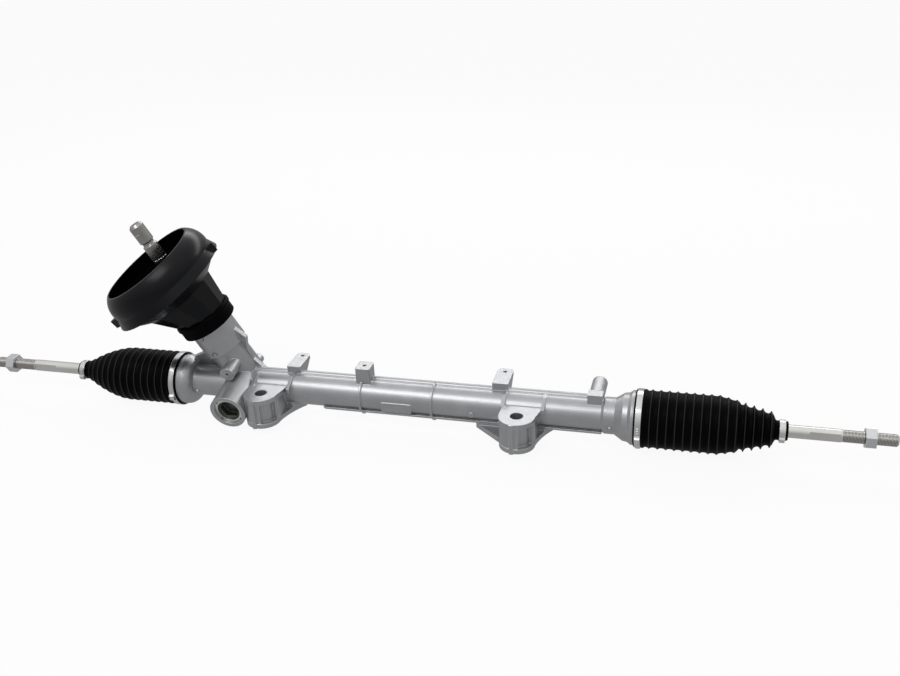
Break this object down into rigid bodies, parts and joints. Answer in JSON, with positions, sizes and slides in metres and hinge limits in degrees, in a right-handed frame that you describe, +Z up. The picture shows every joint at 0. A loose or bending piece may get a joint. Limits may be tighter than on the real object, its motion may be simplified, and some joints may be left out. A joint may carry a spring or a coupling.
{
  "type": "steering rack",
  "caption": "Rack-and-pinion steering gear: die-cast housing with mounting lugs, leaning pinion tower under a dash seal, bellows boots and threaded tie rods.",
  "frame": {"origin": "midway between the two mounting bolts, on the lugs' lower faces", "axes": "+Z up along the mounting bolts, +X along the rack away from the pinion, +Y to the back, where the bracket tabs are"},
  "size_m": [1.184, 0.1568, 0.269],
  "materials": {
    "cast_aluminium": "die-cast, satin, with bright machined faces",
    "black_rubber": "satin black rubber",
    "black_plastic": "satin black moulded plastic",
    "bright_steel": "ground and polished steel",
    "zinc_steel": "bright zinc plating",
    "band_steel": "stainless band",
    "forged_steel": "machined steel, lightly oiled",
    "plug_steel": "dark green-black phosphated steel",
    "bearing_steel": "ground bearing steel",
    "spring_steel": "spring steel",
    "bush_polymer": "low-friction polymer",
    "seat_polymer": "acetal",
    "bronze": "sintered bronze"
  },
  "bodies": {
    "housing": {"rack_housing": "cast_aluminium", "support_yoke": "cast_aluminium", "yoke_liner": "bush_polymer", "yoke_spring": "spring_steel", "yoke_o_ring": "black_rubber", "yoke_adjuster_plug": "plug_steel", "yoke_lock_ring": "zinc_steel", "rack_bush": "bush_polymer", "bush_snap_ring": "spring_steel", "bearing_outer_ring": "bearing_steel", "bearing_snap_ring": "spring_steel", "needle_cup": "bearing_steel", "pinion_oil_seal": "black_rubber", "dash_seal_bell": "black_plastic", "dash_seal_collar": "black_rubber", "left_boot": "black_rubber", "right_boot": "black_rubber", "left_large_clamp": "band_steel", "right_large_clamp": "band_steel"},
    "rack": {"rack_bar": "bright_steel", "left_lock_washer": "zinc_steel", "right_lock_washer": "zinc_steel", "left_inner_joint_cup": "forged_steel", "right_inner_joint_cup": "forged_steel"},
    "pinion": {"pinion_shaft": "forged_steel", "bearing_inner_ring": "bearing_steel", "bearing_balls": "bearing_steel", "bearing_cage": "bronze", "pinion_circlip": "spring_steel", "needle_rollers": "bearing_steel"},
    "left_seat": {"left_ball_seat": "seat_polymer"},
    "left_rod": {"left_tie_rod": "bright_steel", "left_lock_nut": "zinc_steel", "left_small_clamp": "band_steel"},
    "right_seat": {"right_ball_seat": "seat_polymer"},
    "right_rod": {"right_tie_rod": "bright_steel", "right_lock_nut": "zinc_steel", "right_small_clamp": "band_steel"}
  },
  "joints": [
    {"name": "rack_slide", "type": "slide", "parent": "housing", "child": "rack", "axis": [1, 0, 0], "range_m": [-0.072, 0.072], "deforming": ["left_boot", "right_boot"]},
    {"name": "pinion_turn", "type": "hinge", "parent": "housing", "child": "pinion", "pos_m": [-0.2075, 0.05669, 0.03105], "axis": [-0.4067, -0.1743, 0.8968], "range_deg": [-575, 575]},
    {"name": "left_rod_steer", "type": "hinge", "parent": "rack", "child": "left_seat", "pos_m": [-0.38, 0.041, 0.028], "axis": [0, 0, 1], "range_deg": [-12, 12]},
    {"name": "left_rod_lift", "type": "hinge", "parent": "left_seat", "child": "left_rod", "pos_m": [-0.38, 0.041, 0.028], "axis": [0, 1, 0], "range_deg": [-20, 20]},
    {"name": "right_rod_steer", "type": "hinge", "parent": "rack", "child": "right_seat", "pos_m": [0.39, 0.041, 0.028], "axis": [0, 0, 1], "range_deg": [-12, 12]},
    {"name": "right_rod_lift", "type": "hinge", "parent": "right_seat", "child": "right_rod", "pos_m": [0.39, 0.041, 0.028], "axis": [0, 1, 0], "range_deg": [-20, 20]}
  ],
  "couplings": [
    {"joint": "pinion_turn", "follows": "rack_slide", "rad_per_m": 138.89}
  ]
}
